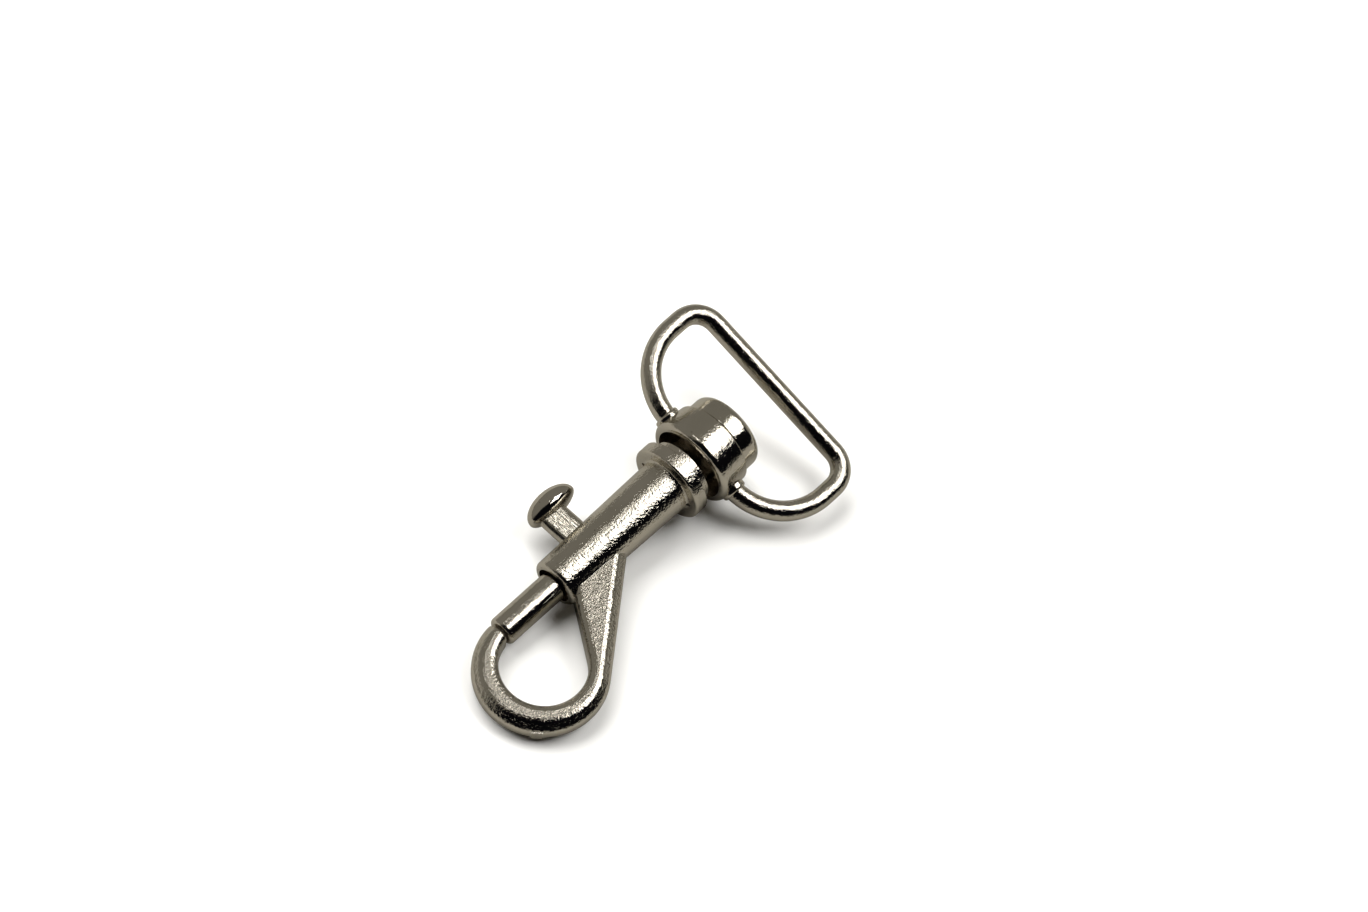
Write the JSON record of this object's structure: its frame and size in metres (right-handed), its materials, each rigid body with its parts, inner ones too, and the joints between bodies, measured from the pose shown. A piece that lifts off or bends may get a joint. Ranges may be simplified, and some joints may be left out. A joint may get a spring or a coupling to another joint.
{
  "type": "swivel hook",
  "caption": "Nickel-plated swivel snap hook: die-cast hook closed by a spring-loaded sliding bolt with a thumb knob, and a D-ring on a swivel collar.",
  "frame": {"origin": "on the swivel axis, where a webbing loop bears on the inside of the D-ring's bar", "axes": "+X along the swivel axis from the hook towards the D-ring, +Z square to the hook's flat side, +Y on the thumb knob's side"},
  "size_m": [0.0572, 0.0296, 0.0118],
  "materials": {
    "hook_body": "bright nickel plate over a zinc die-casting, slight orange peel",
    "bolt": "bright nickel plate, drawn rod",
    "thumb_knob": "mirror-bright nickel plate on the head, brushed on the stem",
    "return_spring": "drawn spring steel wire",
    "swivel_stud": "bright nickel plate, turned",
    "swivel_collar": "bright nickel plate over a zinc die-casting",
    "d_ring": "bright nickel plate on bent wire"
  },
  "bodies": {
    "hook": {"hook_body": "hook_body", "swivel_stud": "swivel_stud", "return_spring": "return_spring"},
    "gate": {"bolt": "bolt", "thumb_knob": "thumb_knob"},
    "swivel": {"swivel_collar": "swivel_collar", "d_ring": "d_ring"}
  },
  "joints": [
    {"name": "gate_slide", "type": "slide", "parent": "hook", "child": "gate", "axis": [1, 0, 0], "range_m": [0, 0.0076], "stiffness_N_per_m": 350, "springref_m": -0.006, "deforming": ["return_spring"]},
    {"name": "swivel_turn", "type": "hinge", "parent": "hook", "child": "swivel", "pos_m": [0, 0, 0], "axis": [1, 0, 0], "continuous": true}
  ]
}
